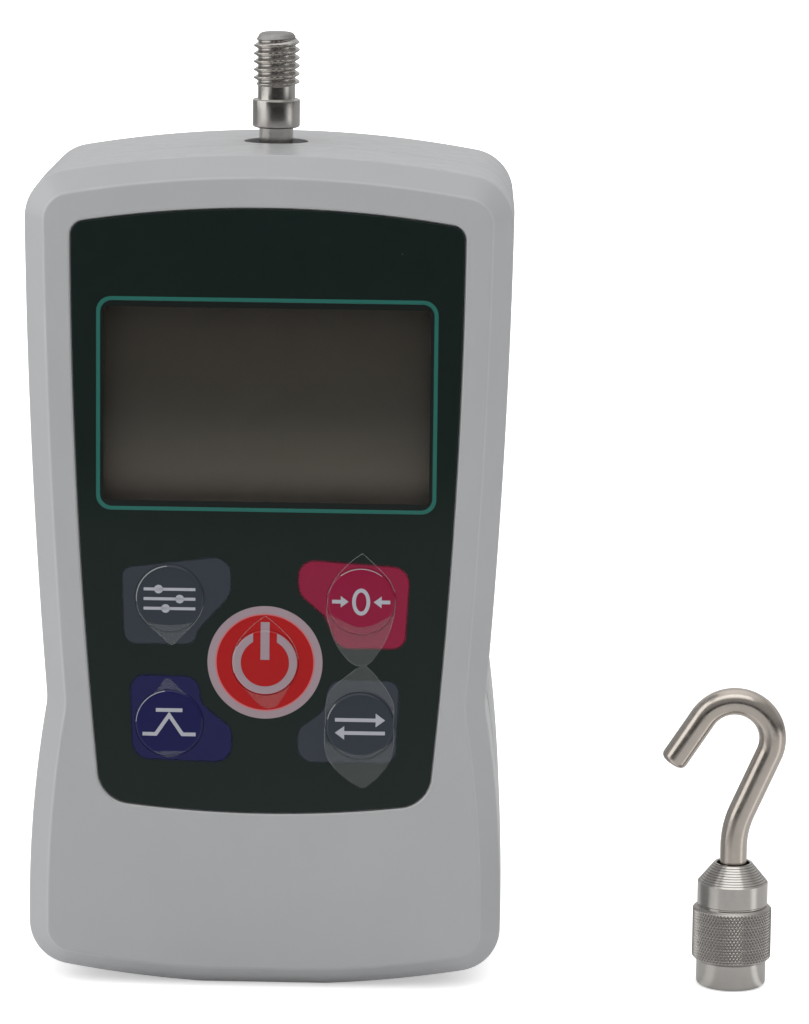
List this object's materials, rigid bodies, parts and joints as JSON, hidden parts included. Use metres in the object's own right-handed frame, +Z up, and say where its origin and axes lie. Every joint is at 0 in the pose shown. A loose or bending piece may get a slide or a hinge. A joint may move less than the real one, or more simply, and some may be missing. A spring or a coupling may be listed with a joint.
{
  "type": "digital force gauge",
  "caption": "Hand-held digital force gauge with a waisted two-shell case, keypad overlay, threaded load shaft and a loose swivel hook beside it.",
  "frame": {"origin": "on the measuring axis, at the lower end of the attachment thread on the load shaft", "axes": "+Z up the measuring axis and out of the thread; +Y from the display to the back, out of the stand inserts; +X to the right of the display"},
  "size_m": [0.0978, 0.0362, 0.1216],
  "materials": {
    "shell_grey": "fine satin grain",
    "overlay_film": "semi-gloss film",
    "window_clear": "clear polished",
    "lcd_glass": "dull blank display",
    "bezel_black": "matte",
    "diffuser_white": "translucent white",
    "strip_rubber": "soft",
    "board_green": "solder resist",
    "chip_black": "matte",
    "connector_ivory": "matte",
    "key_slate": "semi-gloss film",
    "key_crimson": "semi-gloss film",
    "key_navy": "semi-gloss film",
    "key_red": "semi-gloss film",
    "plunger_ivory": "matte",
    "shaft_steel": "turned and polished",
    "steel_zinc": "zinc plated",
    "screw_black": "black oxide",
    "cell_aluminium": "milled",
    "gauge_foil": "foil on film",
    "lead_grey": "insulated lead",
    "lead_red": "insulated lead",
    "battery_can": "plated can",
    "sleeve_blue": "shrink sleeve",
    "foam_dark": "foam",
    "brass": "turned",
    "hook_steel": "bright drawn wire",
    "adapter_steel": "turned and knurled"
  },
  "bodies": {
    "case": {"front_shell": "shell_grey", "rear_shell": "shell_grey", "keypad_overlay": "overlay_film", "display_window": "window_clear", "lcd_panel": "lcd_glass", "lcd_bezel": "bezel_black", "backlight_diffuser": "diffuser_white", "contact_strips": "strip_rubber", "main_board": "board_green", "board_chips": "chip_black", "tact_switches": "bezel_black", "lead_connectors": "connector_ivory", "board_screws": "steel_zinc", "charge_socket": "steel_zinc", "load_cell": "cell_aluminium", "strain_gauges": "gauge_foil", "cell_bracket": "steel_zinc", "cell_screw": "screw_black", "bracket_screws": "steel_zinc", "cell_lead": "lead_grey", "battery_cells": "battery_can", "battery_sleeve": "sleeve_blue", "battery_pad": "foam_dark", "battery_leads": "lead_red", "case_screws": "screw_black", "stand_inserts": "brass"},
    "set_button": {"set_key": "key_slate", "set_plunger": "plunger_ivory"},
    "zero_button": {"zero_key": "key_crimson", "zero_plunger": "plunger_ivory"},
    "peak_button": {"peak_key": "key_navy", "peak_plunger": "plunger_ivory"},
    "unit_button": {"unit_key": "key_slate", "unit_plunger": "plunger_ivory"},
    "power_button": {"power_key": "key_red", "power_plunger": "plunger_ivory"},
    "measuring_line": {"load_shaft": "shaft_steel", "lock_nut": "steel_zinc", "overload_stop": "screw_black"},
    "adapter": {"hook_adapter": "adapter_steel"},
    "swivel_hook": {"hook": "hook_steel"}
  },
  "joints": [
    {"name": "set_press", "type": "slide", "parent": "case", "child": "set_button", "axis": [0, 1, 0], "range_m": [0, 0.0004], "stiffness_N_per_m": 2500},
    {"name": "zero_press", "type": "slide", "parent": "case", "child": "zero_button", "axis": [0, 1, 0], "range_m": [0, 0.0004], "stiffness_N_per_m": 2500},
    {"name": "peak_press", "type": "slide", "parent": "case", "child": "peak_button", "axis": [0, 1, 0], "range_m": [0, 0.0004], "stiffness_N_per_m": 2500},
    {"name": "unit_press", "type": "slide", "parent": "case", "child": "unit_button", "axis": [0, 1, 0], "range_m": [0, 0.0004], "stiffness_N_per_m": 2500},
    {"name": "power_press", "type": "slide", "parent": "case", "child": "power_button", "axis": [0, 1, 0], "range_m": [0, 0.0004], "stiffness_N_per_m": 2500},
    {"name": "shaft_load", "type": "slide", "parent": "case", "child": "measuring_line", "axis": [0, 0, 1], "range_m": [-0.0003, 0.0003], "stiffness_N_per_m": 100000, "deforming": ["load_cell"]},
    {"name": "adapter_lift", "type": "slide", "parent": "case", "child": "adapter", "axis": [0, 0, 1], "range_m": [0, 0.06]},
    {"name": "hook_swivel", "type": "hinge", "parent": "adapter", "child": "swivel_hook", "pos_m": [0.0605, -0.0128, -0.0989], "axis": [0, 0, 1], "continuous": true}
  ]
}
